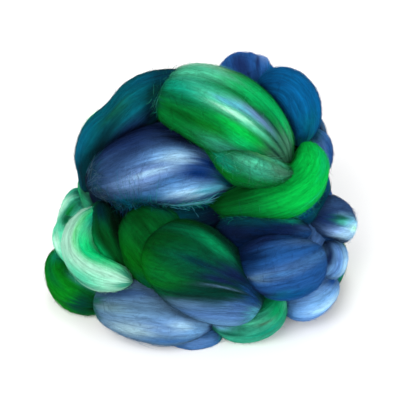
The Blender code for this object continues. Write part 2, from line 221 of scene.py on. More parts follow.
        "tips": (0.7, 0.45), "grooves": [(20, 0.5, 10)], "twist": 60, "fuzzy": 1.6, "strength": 1.35,
        "shade": 0.6, "base": "dusk",
        "dyeAndShading": [("navy", 0.24, 50, 0.18, 24), ("slate", 0.46, 22, 0.12, 5),
            ("fern", 0.42, 36, 0.14, 10), ("sea", 0.52, 38, 0.12, 8), ("lavender", 0.58, 56, 0.18, 12),
            ("aqua", 0.65, 26, 0.14, 16), ("ice", 0.8, 28, 0.21, 26), ("ice", 0.76, 56, 0.2, 14),
            ("pale", 0.78, 28, 0.12, 8), ("ink", 0.5, 92, 0.3, 9), ("royal", 0.36, 108, 0.3, 10),
            ("fern", 0.03, 40, 0.06, 60)]},
    "bottomLeftRim": {
        "tier": "low", "path": [(-80, -2, 31), (-82, -18, 17), (-59, -40, 11)], "wide": 38, "deep": 38,
        "tips": (0.55, 0.6), "grooves": [(-20, 0.6, 9), (20, 0.6, 10)], "strength": 1.15, "shade": 0.6,
        "base": "leaf",
        "dyeAndShading": [("foam", 0.16, -50, 0.12, 30), ("grass", 0.4, -20, 0.2, 12), ("sea", 0.68, -66, 0.2, 9),
            ("bottle", 0.86, 0, 0.1, 60), ("moss", 0.97, 0, 0.06, 90)]},
    "lowerLeftRim": {
        "tier": "low", "path": [(-70, 14, 62), (-80, 14, 44), (-82, 12, 24)], "wide": 44, "deep": 28,
        "tips": (0.65, 0.6), "grooves": [(0, 0.6, 12)], "strength": 1.8, "shade": 0.3, "base": "sea",
        "dyeAndShading": [("pale", 0.42, -10, 0.2, 14), ("grass", 0.3, -46, 0.2, 14), ("fern", 0.06, 0, 0.12, 90)]},
    "crownCross": {
        "tier": "top", "path": [(30, 34, 114), (32, 56, 121), (32, 82, 100)], "wide": 45, "deep": 40,
        "tips": (0.55, 0.55), "grooves": [(-14, 1.0, 10), (20, 1.0, 10)], "strength": 1.6, "base": "royal",
        "dyeAndShading": [("navy", 0.3, -46, 0.2, 24), ("lavender", 0.5, -4, 0.12, 10),
            ("navy", 0.38, -14, 0.1, 4), ("azure", 0.36, 18, 0.2, 14), ("sky", 0.8, 10, 0.16, 30)]},
    "crownBack": {
        "tier": "top", "path": [(-46, 30, 110), (-12, 46, 110), (26, 40, 110)], "wide": 46, "deep": 40,
        "tips": (0.6, 0.6), "grooves": [(0, 1.2, 8), (-34, 1.0, 9)], "base": "kelly",
        "dyeAndShading": [("foam", 0.2, 0, 0.2, 50), ("forest", 0.6, -40, 0.3, 20), ("mint", 0.6, 12, 0.18, 10)]},
    "upperLeftSide": {
        "tier": "top", "path": [(-46, 34, 112), (-60, 30, 92), (-62, 22, 68)], "wide": 46, "deep": 36,
        "tips": (0.55, 0.5), "grooves": [(8, 1.0, 9)], "base": "teal",
        "dyeAndShading": [("emerald", 0.3, 0, 0.16, 30), ("deepTeal", 0.8, 0, 0.2, 90),
            ("mint", 0.5, 20, 0.14, 10)]},
    "upperRightSide": {
        "tier": "top", "path": [(50, 30, 116), (64, 30, 97), (65, 22, 78)], "wide": 40, "deep": 36,
        "tips": (0.6, 0.6), "grooves": [(-12, 1.0, 9), (20, 1.0, 9)], "base": "royal",
        "dyeAndShading": [("navy", 0.2, 0, 0.2, 90), ("sky", 0.55, 10, 0.16, 12), ("navy", 0.9, 0, 0.16, 90)]},
    "upperBackLeft": {
        "tier": "top", "path": [(-58, 20, 92), (-34, 56, 92), (20, 64, 84)], "wide": 48, "deep": 42,
        "tips": (0.6, 0.5), "grooves": [(-18, 1.2, 8), (16, 1.2, 8)], "base": "grass",
        "dyeAndShading": [("kelly", 0.4, -10, 0.26, 30), ("mint", 0.6, 8, 0.16, 10),
            ("bottle", 0.92, 0, 0.16, 90), ("teal", 0.05, 0, 0.12, 90)]},
    "upperBackRight": {
        "tier": "top", "path": [(12, 72, 84), (46, 60, 96), (58, 26, 92)], "wide": 42, "deep": 40,
        "tips": (0.6, 0.6), "grooves": [(-18, 1.2, 8), (16, 1.2, 8)], "base": "cornflower",
        "dyeAndShading": [("navy", 0.1, 0, 0.16, 90), ("sky", 0.4, -14, 0.16, 14), ("ice", 0.55, 10, 0.14, 8),
            ("deepRoyal", 0.75, -6, 0.14, 22), ("navy", 0.5, 70, 0.4, 24)]},
    "middleBackLeft": {
        "tier": "top", "path": [(-66, 12, 78), (-46, 56, 72), (6, 70, 72)], "wide": 44, "deep": 42,
        "tips": (0.6, 0.5), "grooves": [(-10, 1.2, 8), (24, 1.0, 8)], "base": "lagoon",
        "dyeAndShading": [("teal", 0.3, 10, 0.2, 30), ("navy", 0.8, 0, 0.2, 50), ("denim", 0.5, -20, 0.2, 12)]},
    "middleBackRight": {
        "tier": "top", "path": [(4, 72, 72), (52, 62, 72), (68, 20, 76)], "wide": 38, "deep": 38,
        "tips": (0.6, 0.6), "grooves": [(0, 1.2, 8), (30, 1.0, 8)], "base": "forest",
        "dyeAndShading": [("kelly", 0.5, 0, 0.24, 24), ("emerald", 0.66, 14, 0.14, 10),
            ("bottle", 0.05, 0, 0.16, 90)]},
    "middleRightSide": {
        "tier": "top", "path": [(56, 30, 82), (67, -4, 80), (52, -40, 76)], "wide": 34, "deep": 34,
        "tips": (0.5, 0.5), "grooves": [(-10, 1.0, 9), (24, 0.8, 8)], "strength": 1.5, "shade": 0.5,
        "base": "lagoon",
        "dyeAndShading": [("navy", 0.1, 0, 0.2, 90), ("fern", 0.45, -20, 0.2, 30), ("deepTeal", 0.76, 0, 0.2, 60)]},
    "lowerLeftInner": {
        "tier": "low", "path": [(-80, 14, 50), (-78, -8, 40), (-66, -34, 36)], "wide": 34, "deep": 34,
        "tips": (0.6, 0.6), "grooves": [(0, 1.0, 10)], "strength": 1.5, "shade": 0.5, "base": "mint",
        "dyeAndShading": [("pale", 0.52, 8, 0.12, 14), ("grass", 0.66, 46, 0.16, 18), ("pine", 0.28, -40, 0.2, 20)]},
    "lowerLeftSide": {
        "tier": "low", "path": [(-52, -22, 69), (-60, 24, 59), (-50, 62, 38)], "wide": 44, "deep": 42,
        "tips": (0.5, 0.6), "grooves": [(-14, 1.2, 8), (18, 1.2, 8)], "base": "mint",
        "dyeAndShading": [("pale", 0.5, 4, 0.24, 16), ("emerald", 0.45, -34, 0.3, 16),
            ("grass", 0.4, -70, 0.4, 20), ("deepTeal", 0.04, 0, 0.14, 90), ("sea", 0.9, 0, 0.16, 60)]},
    "lowerBack": {
        "tier": "low", "path": [(-62, 44, 62), (-16, 78, 56), (32, 72, 36)], "wide": 50, "deep": 42,
        "tips": (0.6, 0.6), "grooves": [(-24, 1.4, 7), (2, 1.2, 7), (28, 1.2, 8)], "base": "royal",
        "dyeAndShading": [("navy", 0.12, 0, 0.2, 90), ("cornflower", 0.5, 10, 0.2, 20),
            ("sky", 0.6, -12, 0.14, 10), ("navy", 0.4, -66, 0.5, 26), ("bottle", 0.94, 0, 0.12, 90)]},
    "lowerBackRight": {
        "tier": "low", "path": [(14, 76, 62), (54, 56, 58), (72, 20, 40)], "wide": 46, "deep": 42,
        "tips": (0.6, 0.6), "grooves": [(-18, 1.2, 8), (14, 1.2, 8), (42, 1.0, 8)], "base": "teal",
        "dyeAndShading": [("foam", 0.5, -8, 0.22, 14), ("deepTeal", 0.1, 0, 0.18, 90),
            ("lagoon", 0.78, 10, 0.18, 40), ("navy", 0.95, 0, 0.1, 90)]},
    "lowerRightSide": {
        "tier": "low", "path": [(56, 42, 62), (65, 6, 60), (61, -42, 49)], "wide": 46, "deep": 42,
        "tips": (0.5, 0.5), "grooves": [(0, 1.0, 9)], "strength": 1.8, "shade": 0.5, "base": "denim",
        "dyeAndShading": [("royal", 0.45, 0, 0.2, 30), ("cornflower", 0.55, 14, 0.14, 10)]},
    "bottomLeftSide": {
        "tier": "low", "path": [(-76, -8, 12), (-76, 28, 20), (-54, 60, 38)], "wide": 42, "deep": 40,
        "tips": (0.6, 0.6), "grooves": [(-14, 1.2, 8), (16, 1.2, 8)], "base": "slate",
        "dyeAndShading": [("ice", 0.5, -4, 0.2, 14), ("bottle", 0.04, 0, 0.16, 90),
            ("cornflower", 0.7, 16, 0.2, 20), ("navy", 0.92, 0, 0.14, 90)]},
    "bottomBack": {
        "tier": "low", "path": [(-66, 50, 14), (-18, 80, 18), (32, 74, 34)], "wide": 46, "deep": 42,
        "tips": (0.6, 0.6), "grooves": [(-20, 1.2, 8), (8, 1.2, 8), (34, 1.0, 8)], "base": "grass",
        "dyeAndShading": [("kelly", 0.5, -10, 0.24, 22), ("forest", 0.2, 10, 0.2, 60), ("mint", 0.66, 4, 0.14, 8),
            ("bottle", 0.95, 0, 0.12, 90)]},
    "bottomBackRight": {
        "tier": "low", "path": [(10, 80, 12), (58, 62, 18), (76, 24, 36)], "wide": 44, "deep": 42,
        "tips": (0.6, 0.6), "grooves": [(-16, 1.2, 8), (14, 1.2, 8)], "base": "denim",
        "dyeAndShading": [("navy", 0.1, 0, 0.18, 90), ("sky", 0.55, -6, 0.2, 12), ("royal", 0.8, 10, 0.18, 40)]},
    "bottomRightSide": {
        "tier": "low", "path": [(70, 38, 12), (78, 2, 19), (68, -38, 18)], "wide": 40, "deep": 38,
        "tips": (0.5, 0.5), "grooves": [(-8, 1.0, 9)], "base": "forest",
        "dyeAndShading": [("kelly", 0.4, -10, 0.2, 20), ("foam", 0.7, 0, 0.14, 20), ("deepTeal", 0.95, 0, 0.1, 90)]},
    # the core fills the bun's hollow middle; its near black ink dye is painted shade for the hollow
    "innerLow": {
        "tier": "core", "path": [(-78, 8, 36), (0, 8, 36), (78, 8, 36)], "wide": 116, "deep": 84,
        "tips": (0.4, 0.4), "base": "ink",
        "dyeAndShading": [("bottle", 0.3, 0, 0.2, 90)]},
    "innerMiddle": {
        "tier": "core", "path": [(-72, 2, 76), (0, 4, 78), (72, 2, 76)], "wide": 84, "deep": 50,
        "tips": (0.4, 0.4), "base": "ink",
        "dyeAndShading": [("bottle", 0.3, 0, 0.2, 90)]},
    "innerTop": {
        "tier": "core", "path": [(-56, 24, 88), (0, 24, 88), (56, 24, 88)], "wide": 80, "deep": 80,
        "tips": (0.4, 0.4), "base": "ink",
        "dyeAndShading": [("bottle", 0.6, 0, 0.2, 90)]},
}
firstBackLeg = "crownBack"

# the middle of each tier, in millimetres: a leg turns its back outward from it
tierHeart = {"low": (0, 4, 2), "top": (2, 22, 78), "core": (0, 16, -300)}

# the mesh rows and columns of a leg, how its tips and its outer side crowd them, and its general form
form = {"alongFront": 76, "aroundFront": 70, "alongBack": 60, "aroundBack": 52, "tipCrowding": 0.1,
        "outerCrowding": 0.38, "bendClosing": 1.25, "taperPower": 2.2, "fanReach": 0.35, "swellPower": 0.6,
        "dentBreadth": 0.9, "grooveSway": 0.10, "grooveBends": 2.2, "fullGroove": 2.5}

# Sums of random waves. Size is a share of the leg, or of its tone. Around holds the fewest and the most
# waves about the leg, and wander is the most along it, either way.
waveSums = {
    "locks": {"seed": 1, "size": 0.014, "waves": 6, "around": (5, 9), "wander": 0.4},
    "smallLocks": {"seed": 2, "size": 0.006, "waves": 8, "around": (12, 22), "wander": 0.8},
    "rolls": {"seed": 9, "size": 0.02, "waves": 4, "around": (1, 3), "wander": 1.1},
    "fineBleed": {"seed": 3, "size": 0.016, "waves": 10, "around": (10, 40), "wander": 0.8},
    "wideBleed": {"seed": 4, "size": 0.018, "waves": 5, "around": (3, 8), "wander": 0.6},
    "sway": {"seed": 5, "size": 0.03, "waves": 5, "around": (1, 3), "wander": 1.4},
    "tone": {"seed": 6, "size": 0.03, "waves": 8, "around": (8, 20), "wander": 1.0},
}
seedStep = 7


def screenToLinear(color):
    # the screen curve undone: a low straight part, then a power
    value = np.asarray(color, float) / 255
    return np.where(value <= 0.04045, value / 12.92, ((value + 0.055) / 1.055) ** 2.4)


def unit(vectors):
    # each vector over its own length
    return vectors / np.linalg.norm(vectors, axis=-1, keepdims=True)


def bendPath(path, t):
    # a quadratic curve from the first point to the last that meets the middle point halfway
    start, middle, end = np.array(path, float)
    bend = 2 * middle - (start + end) / 2
    t = t[:, None]
    return (1 - t) ** 2 * start + 2 * t * (1 - t) * bend + t ** 2 * end


def spineOf(leg, t):
    # centre, slope along the path, outward from the tier's heart, and across the two
    centre = bendPath(leg["path"], t)
    step = 1e-3
    slope = unit(bendPath(leg["path"], t + step) - bendPath(leg["path"], t - step))
    outward = centre - np.array(tierHeart[leg["tier"]], float)
    outward = unit(outward - (outward * slope).sum(-1, keepdims=True) * slope)
    return centre, slope, outward, np.cross(slope, outward)


def closeBend(offset, turn):
    # the side that faces into a bend is drawn in by 1 / (1 + closing x offset x curvature)
    return offset / (1 + form["bendClosing"] * np.maximum(offset * turn[:, None], 0))


def pathTurn(path, t):
    # curvature of the path, pointing into its bend: (pull - its part along the speed) / speed^2
    start, middle, end = np.array(path, float)
    bend = 2 * middle - (start + end) / 2
    speed = 2 * (1 - t)[:, None] * (bend - start) + 2 * t[:, None] * (end - bend)
    pull = 2 * (start - 2 * bend + end)
    square = (speed ** 2).sum(-1, keepdims=True)
    return (pull - (speed @ pull)[:, None] * speed / square) / square


def fatness(leg, t):
    # one at the middle, nothing at both tips: (1 - |2t - 1|^power)^tip
    away = np.abs(2 * t - 1)
    tip = np.where(t < 0.5, leg["tips"][0], leg["tips"][1])
    return np.clip(1 - away ** form["taperPower"], 0, 1) ** tip


def streaks(name, number, t, angle):
    # size x the sum of sin(n x angle + 2 pi x m x t + phase) over the root of half the waves: n is large
    # and m small, so it runs in streaks with the fibre
    kind = waveSums[name]
    rng = np.random.default_rng(number * seedStep + kind["seed"])
    fewest, most = kind["around"]
    total = np.zeros(np.broadcast(t, angle).shape)
    for _ in range(kind["waves"]):
        around = rng.integers(fewest, most + 1)
        along = rng.uniform(-kind["wander"], kind["wander"])
        total += np.sin(around * angle + 2 * np.pi * along * t + rng.uniform(0, 2 * np.pi))
    return kind["size"] * (total / math.sqrt(kind["waves"] / 2))


def fibreLie(leg, t):
    # how far the fibres have turned about the leg at t, and how close they gather: fan x reach x tanh
    reach = form["fanReach"]
    turned = math.radians(leg.get("twist", 0)) * (t - 0.5)
    return turned, leg.get("fan", 0) * reach * np.tanh((t - 0.5) / reach)


def shapeLeg(name, number):
    # a ring of radius (width, depth) x fatness at each t, less its grooves, swelling in soft locks
    leg = legs[name]
    side = "Back" if number >= list(legs).index(firstBackLeg) else "Front"
    rows, columns = form["along" + side], form["around" + side]
    even = np.linspace(0, 1, rows + 2)
    t = even - form["tipCrowding"] * np.sin(2 * np.pi * even)
    spread = np.linspace(-np.pi, np.pi, columns, endpoint=False)
    angle = spread - form["outerCrowding"] * np.sin(spread)
    twist, gather = fibreLie(leg, t)
    centre, slope, outward, across = spineOf(leg, t)
    fat = fatness(leg, t)
    share, fibre = t[:, None], angle[None, :]
    turned = fibre - twist[:, None] - gather[:, None] * np.sin(fibre)
    envelope = np.sin(np.pi * share) ** form["swellPower"]
    swell = sum(streaks(kind, number, share, fibre) for kind in ("locks", "smallLocks", "rolls"))
    for along, around, depth, length in leg.get("dents", []):
        off = (fibre - math.radians(around)) / form["dentBreadth"]
        gone = ((share - along) / length) ** 2 + off ** 2
        swell = swell - depth / (leg["wide"] / 2) * np.exp(-gone)
    lift = 1 + swell * envelope
    grooveShadeMask = np.zeros_like(lift)
    for around, depth, breadth in leg.get("grooves", []):
        bends = np.sin(form["grooveBends"] * np.pi * share + number)
        drift = np.radians(around) + form["grooveSway"] * bends
        cut = envelope * np.exp(-((fibre - drift) / np.radians(breadth)) ** 2)
        lift = lift - depth / (leg["deep"] / 2) * cut
        # how deep in a groove each point lies, for the painted shade in the grooves
        grooveShadeMask = grooveShadeMask + depth / form["fullGroove"] * cut ** 2
    turn = pathTurn(leg["path"], t)
    sideways = closeBend((leg["wide"] / 2 * fat)[:, None] * np.sin(turned) * lift, (turn * across).sum(-1))
    rise = closeBend((leg["deep"] / 2 * fat)[:, None] * np.cos(turned) * lift, (turn * outward).sum(-1))
    points = centre[:, None] + sideways[..., None] * across[:, None] + rise[..., None] * outward[:, None]
    return {"leg": leg, "t": t, "angle": angle, "points": points, "centre": centre, "slope": slope,
            "outward": outward, "across": across, "fat": fat, "grooveShadeMask": grooveShadeMask, "number": number}


def gridNormals(points):
    # the cross product of the step around and the step along; the tips borrow their neighbours'
    around = np.roll(points, -1, 1) - np.roll(points, 1, 1)
    along = np.gradient(points, axis=0)
    normal = np.cross(around, along)
    size = np.linalg.norm(normal, axis=-1, keepdims=True)
    normal = normal / np.maximum(size, 1e-9)
    normal[0], normal[-1] = normal[1], normal[-2]
    return normal


# how the legs press into each other and onto the surface, in millimetres and shares
pressing = {"depth": 0.9, "reach": 2.0, "sinkShare": 0.1, "most": 0.45, "softFloor": 1.2, "slices": 26,
            "skippedRows": 2, "margin": 14, "farAway": 99.0, "thinnest": 0.02}


def distanceTo(points, shape):
    # how far points lie outside a leg, taken as a row of ellipsoids along its spine: the least of
    # distance x (1 - 1 / size), with size the distance counted in radii of the ellipsoid
    skipped = pressing["skippedRows"]
    pick = np.linspace(skipped, len(shape["t"]) - 1 - skipped, pressing["slices"]).astype(int)
    leg = shape["leg"]
    reach = np.linalg.norm(points - shape["centre"][len(shape["t"]) // 2], axis=1)
    span = np.linalg.norm(np.subtract(leg["path"][2], leg["path"][0])) / 2 + leg["wide"] / 2
    result = np.full(len(points), pressing["farAway"])
    near = reach < span + pressing["margin"]
    if not near.any():
        return result
    offset = points[near][:, None] - shape["centre"][pick][None]
    fat = np.maximum(shape["fat"][pick], pressing["thinnest"])
    wide, deep = leg["wide"] / 2 * fat, leg["deep"] / 2 * fat
    forward = (offset * shape["slope"][pick]).sum(-1) / ((wide + deep) / 2)
    sideways = (offset * shape["across"][pick]).sum(-1) / wide
    rise = (offset * shape["outward"][pick]).sum(-1) / deep
    size = np.sqrt(forward * forward + sideways * sideways + rise * rise)
    length = np.linalg.norm(offset, axis=-1)
    result[near] = (length * (1 - 1 / np.maximum(size, 1e-6))).min(1)
    return result


def pressLegs(shapes):
    # Where a leg comes near another it dives under: depth x exp(-distance / reach), more where it is
    # inside. The surface lifts it softly: (z + root of z^2 + floor^2) / 2.
    for name, shape in shapes.items():
        flat = shape["points"].reshape(-1, 3)
        gap = np.full(len(flat), pressing["farAway"])
        for other, partner in shapes.items():
            if other != name and partner["leg"]["tier"] != "core" and shape["leg"]["tier"] != "core":
                gap = np.minimum(gap, distanceTo(flat, partner))
        shape["gap"] = gap.reshape(shape["points"].shape[:2])
    for shape in shapes.values():
        normal = gridNormals(shape["points"])
        inward = pressing["depth"] * np.exp(-np.maximum(shape["gap"], 0) / pressing["reach"])
        inward += pressing["sinkShare"] * np.maximum(-shape["gap"], 0)
        room = pressing["most"] * (shape["leg"]["deep"] * shape["fat"])[:, None]
        shape["points"] = shape["points"] - normal * np.minimum(inward, room)[..., None]
        z = shape["points"][..., 2]
        shape["points"][..., 2] = (z + np.sqrt(z * z + pressing["softFloor"] ** 2)) / 2
        shape["normals"] = gridNormals(shape["points"])


# how the dye takes: the edge of a splash, and the painted shade in the creases (reach in millimetres) and
# grooves
dyeingAndShade = {"strength": 0.6, "splashEdge": 2.4, "creaseReach": 4.5, "paintedCreaseShade": 0.75, "paintedGrooveShade": 0.35,
          "darkest": 0.0004, "turnSteps": 20}


def dyeAndShadeLeg(shape):
    # the base dye, then each splash as exp(-r^edge), its edge drawn out in streaks, then painted shade
    # in the creases and grooves
    leg, number = shape["leg"], shape["number"]
    share, fibre = shape["t"][:, None], shape["angle"][None, :]
    bleed = streaks("fineBleed", number, share, fibre) + streaks("wideBleed", number, share, fibre)
    sway = streaks("sway", number, share, fibre)
    color = np.broadcast_to(screenToLinear(dyes[leg["base"]]), shape["points"].shape).copy()
    for pot, along, around, length, breadth in leg["dyeAndShading"]:
        twist, gather = fibreLie(leg, along)
        column = math.radians(around) + twist
        for _ in range(dyeingAndShade["turnSteps"]):
            column = math.radians(around) + twist + gather * math.sin(column)
        spread = math.radians(breadth) / (1 - gather * math.cos(column))
        away = np.angle(np.exp(1j * (fibre + sway - column))) / spread
        r = np.sqrt(((share + bleed - along) / length) ** 2 + away ** 2)
        weight = np.exp(-r ** dyeingAndShade["splashEdge"])[..., None]
        color = color + (screenToLinear(dyes[pot]) - color) * weight
    # painted shade: the dye is darkened near the other legs, in the creases where shade falls
    crease = np.exp(-np.maximum(shape["gap"], 0) / dyeingAndShade["creaseReach"])
    # strength is partly the wool's own tone and partly painted light, brightening or darkening the whole
    # leg
    tone = (1 + streaks("tone", number, share, fibre)) * leg.get("strength", 1)
    tone = tone * (1 - dyeingAndShade["paintedCreaseShade"] * leg.get("shade", 1) * crease)
    # painted shade in the grooves
    tone = tone * (1 - dyeingAndShade["paintedGrooveShade"] * np.clip(shape["grooveShadeMask"], 0, 1)) * dyeingAndShade["strength"]
    shape["dyeAndShading"] = np.clip(color * tone[..., None], dyeingAndShade["darkest"], 1)


def wrapGrid(points, loopUvs, colors, name):
    # rings between two tip points: quads from (i, j) to (i + 1, j + 1) all round, and a fan at each tip
    rows, columns = points.shape[:2]
    rows -= 2
    verts = np.concatenate([points[1:-1].reshape(-1, 3), points[0, :1], points[-1, :1]])
    ends = [colors[1].mean(0)[None], colors[-2].mean(0)[None]]
    tint = np.concatenate([colors[1:-1].reshape(-1, 3)] + ends)
    i, j = np.meshgrid(np.arange(rows - 1), np.arange(columns), indexing="ij")
    k = (j + 1) % columns
    quads = np.stack([i * columns + j, i * columns + k, (i + 1) * columns + k, (i + 1) * columns + j], -1)
    ring = np.arange(columns)
    nextRing = (ring + 1) % columns
    first, last = rows * columns, rows * columns + 1
    lastRow = (rows - 1) * columns
    startFan = np.stack([np.full(columns, first), nextRing, ring], -1)
    endFan = np.stack([np.full(columns, last), lastRow + ring, lastRow + nextRing], -1)
    mesh = bpy.data.meshes.new(name)
    faces = quads.reshape(-1, 4).tolist() + startFan.tolist() + endFan.tolist()
    mesh.from_pydata((verts * mm).tolist(), [], faces)
    u, v = loopUvs
    rowUv = np.stack(np.broadcast_arrays(u[:, None], v[None, :]), -1)
    quadUv = np.stack([rowUv[i + 1, j], rowUv[i + 1, j + 1], rowUv[i + 2, j + 1], rowUv[i + 2, j]], -2)
    middle = (v[:-1] + v[1:]) / 2
    startTip = np.stack([np.full(columns, u[0]), middle], -1)
    endTip = np.stack([np.full(columns, u[-1]), middle], -1)
    startUv = np.stack([startTip, rowUv[1, ring + 1], rowUv[1, ring]], 1)
    endUv = np.stack([endTip, rowUv[-2, ring], rowUv[-2, ring + 1]], 1)
    layer = mesh.uv_layers.new(name="fibreMap")
    allUv = np.concatenate([quadUv.reshape(-1, 2), startUv.reshape(-1, 2), endUv.reshape(-1, 2)])
    layer.data.foreach_set("uv", allUv.astype(np.float32).ravel())
    paint(mesh, tint)
    return mesh


def paint(mesh, tint):
    # one colour for each point, the dye with its painted shade, fully opaque
    layer = mesh.color_attributes.new(name="dyeAndShading", type="FLOAT_COLOR", domain="POINT")
    rgba = np.concatenate([tint, np.ones((len(tint), 1))], 1).astype(np.float32)
    layer.data.foreach_set("color", rgba.ravel())
    mesh.shade_smooth()


def addPiece(mesh, name, material):
    # an object at the origin: its place is in its mesh
    piece = bpy.data.objects.new(name, mesh)
    bpy.context.scene.collection.objects.link(piece)
    mesh.materials.append(material)
    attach(piece, "root")
    return piece


# the fibre map: millimetres in each of its units, and how far apart two legs start on it
fibreMap = {"unit": 100, "apart": 1.7}


def makeLeg(name, shape, material):
    # the fibre map runs in decimetres along the leg, and around its mean girth, pi x (wide + deep) / 2
    leg = shape["leg"]
    steps = np.linalg.norm(np.diff(shape["centre"], axis=0), axis=1)
    along = np.concatenate([[0], np.cumsum(steps)]) / fibreMap["unit"]
    girth = math.pi * (leg["wide"] + leg["deep"]) / 2 / fibreMap["unit"]
    around = np.append(shape["angle"], shape["angle"][0] + 2 * np.pi) / (2 * np.pi) * girth
    along = along + shape["number"] * fibreMap["apart"]
    mesh = wrapGrid(shape["points"], (along, around), shape["dyeAndShading"], name)
    return addPiece(mesh, name, material)


# the fibre grain: streak sizes are counts in each decimetre, across the fibre and along it
grain = {"Hairs": 190, "Hairs Along": 6.0, "Strands": 85, "Strands Along": 3.5, "Locks": 30,
         "Locks Along": 1.8, "Mottle": 44, "Mottle Along": 18, "Contrast": 0.8}
# the noise of each layer, and its share in the tint and in the height
layers = {
    "Hairs": {"detail": 2.0, "distortion": 0.3, "tint": 0.6, "height": 0.25},
    "Mottle": {"detail": 3.0, "distortion": 1.0, "tint": 1.3},
    "Strands": {"detail": 1.0, "distortion": 0.5, "tint": 0.45},
    "Locks": {"detail": 1.0, "distortion": 0.6, "tint": 0.5},
}
wool = {"noiseRoughness": 0.6, "roughest": 0.95, "hairShine": 0.35, "specular": 0.012, "bump": 0.6,
        "bumpHeight": 0.7}


def fibreGrain():
    # Stretched noise on the fibre map. Tint: 1 + contrast x (the layers x their shares - half the shares).
    # Height: hairs, strands and locks by their shares. Roughness: roughest - shine x hairs.
    group = bpy.data.node_groups.new("fibre grain", "ShaderNodeTree")
    face = group.interface
    face.new_socket("Dye And Shading", in_out="INPUT", socket_type="NodeSocketColor")
    for name in grain:
        face.new_socket(name, in_out="INPUT", socket_type="NodeSocketFloat")
    face.new_socket("Color", in_out="OUTPUT", socket_type="NodeSocketColor")
    face.new_socket("Height", in_out="OUTPUT", socket_type="NodeSocketFloat")
    face.new_socket("Roughness", in_out="OUTPUT", socket_type="NodeSocketFloat")
    nodes, links = group.nodes, group.links
    given = nodes.new("NodeGroupInput")
    result = nodes.new("NodeGroupOutput")
    uv = nodes.new("ShaderNodeUVMap")
    uv.uv_map = "fibreMap"
    split = nodes.new("ShaderNodeSeparateXYZ")
    links.new(uv.outputs["UV"], split.inputs[0])

    def combine(operation, first, second):
        # first (operation) second, where each is a number or a socket
        node = nodes.new("ShaderNodeMath")
        node.operation = operation
        for socket, value in zip(node.inputs, (first, second)):
            if isinstance(value, (int, float)):
                socket.default_value = value
            else:
                links.new(value, socket)
        return node.outputs[0]

    def stretched(name):
        # noise at (along x its count, across x its count)
        place = nodes.new("ShaderNodeCombineXYZ")
        along, across = given.outputs[name + " Along"], given.outputs[name]
        links.new(combine("MULTIPLY", split.outputs["X"], along), place.inputs["X"])
        links.new(combine("MULTIPLY", split.outputs["Y"], across), place.inputs["Y"])
        noise = nodes.new("ShaderNodeTexNoise")
        noise.inputs["Scale"].default_value = 1.0
        noise.inputs["Detail"].default_value = layers[name]["detail"]
        noise.inputs["Roughness"].default_value = wool["noiseRoughness"]
        noise.inputs["Distortion"].default_value = layers[name]["distortion"]
        links.new(place.outputs[0], noise.inputs["Vector"])
        return noise.outputs["Fac"]

    noises = {name: stretched(name) for name in layers}
    part = {name: combine("MULTIPLY", noises[name], layers[name]["tint"]) for name in layers}
    coarse = combine("ADD", part["Strands"], part["Locks"])
    height = combine("ADD", combine("MULTIPLY", noises["Hairs"], layers["Hairs"]["height"]), coarse)
    fine = combine("ADD", part["Hairs"], part["Mottle"])
    half = sum(layer["tint"] for layer in layers.values()) / 2
    centred = combine("SUBTRACT", combine("ADD", fine, coarse), half)
    factor = combine("ADD", combine("MULTIPLY", centred, given.outputs["Contrast"]), 1.0)
    tone = nodes.new("ShaderNodeVectorMath")
    tone.operation = "SCALE"
    links.new(given.outputs["Dye And Shading"], tone.inputs[0])
    links.new(factor, tone.inputs["Scale"])
    links.new(tone.outputs[0], result.inputs["Color"])
    links.new(height, result.inputs["Height"])
    shine = combine("MULTIPLY", noises["Hairs"], wool["hairShine"])
    links.new(combine("SUBTRACT", wool["roughest"], shine), result.inputs["Roughness"])
    return group


def newMaterial(name, specular):
    # a Principled material with this much specular, and the colour of its mesh's points: dye with painted
    # shade
    material = bpy.data.materials.new(name)
    material.use_nodes = True
    shader = material.node_tree.nodes["Principled BSDF"]
    shader.inputs["Specular IOR Level"].default_value = specular
    dyeAndShading = material.node_tree.nodes.new("ShaderNodeVertexColor")
    dyeAndShading.layer_name = "dyeAndShading"
    return material, shader, dyeAndShading


def combedWool(grainGroup):
    # base colour: dye with painted shade x grain tint; roughness and bump from the same grain
    material, shader, dyeAndShading = newMaterial("combed wool", wool["specular"])
    nodes, links = material.node_tree.nodes, material.node_tree.links
    fibre = nodes.new("ShaderNodeGroup")
    fibre.node_tree = grainGroup
    for name, value in grain.items():
        fibre.inputs[name].default_value = value
    bump = nodes.new("ShaderNodeBump")
    bump.inputs["Strength"].default_value = wool["bump"]
    bump.inputs["Distance"].default_value = wool["bumpHeight"] * mm
    links.new(dyeAndShading.outputs["Color"], fibre.inputs["Dye And Shading"])
    links.new(fibre.outputs["Color"], shader.inputs["Base Color"])
    links.new(fibre.outputs["Roughness"], shader.inputs["Roughness"])
    links.new(fibre.outputs["Height"], bump.inputs["Height"])
    links.new(bump.outputs["Normal"], shader.inputs["Normal"])
    return material


# Loose fibres for each leg: strands laid on it, strands that fly off it, short down, and down at its
# edges. Along and length are shares of the leg, around is in degrees, drift in radians, lift and curl in
# millimetres. A free fibre lifts off as it goes, and the others come down again at their end.
fuzz = {
    "laid": {"count": 200, "along": (0.03, 0.8), "around": (-115, 115), "length": (0.12, 0.45),
             "drift": 0.16, "lift": 0.4, "free": False, "curl": 0.0, "points": 8},
    "flying": {"count": 30, "along": (0.03, 0.8), "around": (-138, 138), "length": (0.12, 0.45),
               "drift": 0.16, "lift": 1.6, "free": True, "curl": 0.3, "points": 9},
    "down": {"count": 200, "along": (0.02, 0.93), "around": (-140, 140), "length": (0.03, 0.1),
             "drift": 0.3, "lift": 0.9, "free": True, "curl": 0.2, "points": 5},
    "edgeDown": {"count": 320, "along": (0.02, 0.97), "around": (-140, 140), "length": (-0.06, 0.08),
                 "drift": 0.5, "lift": 1.0, "free": True, "curl": 0.5, "points": 5},
}

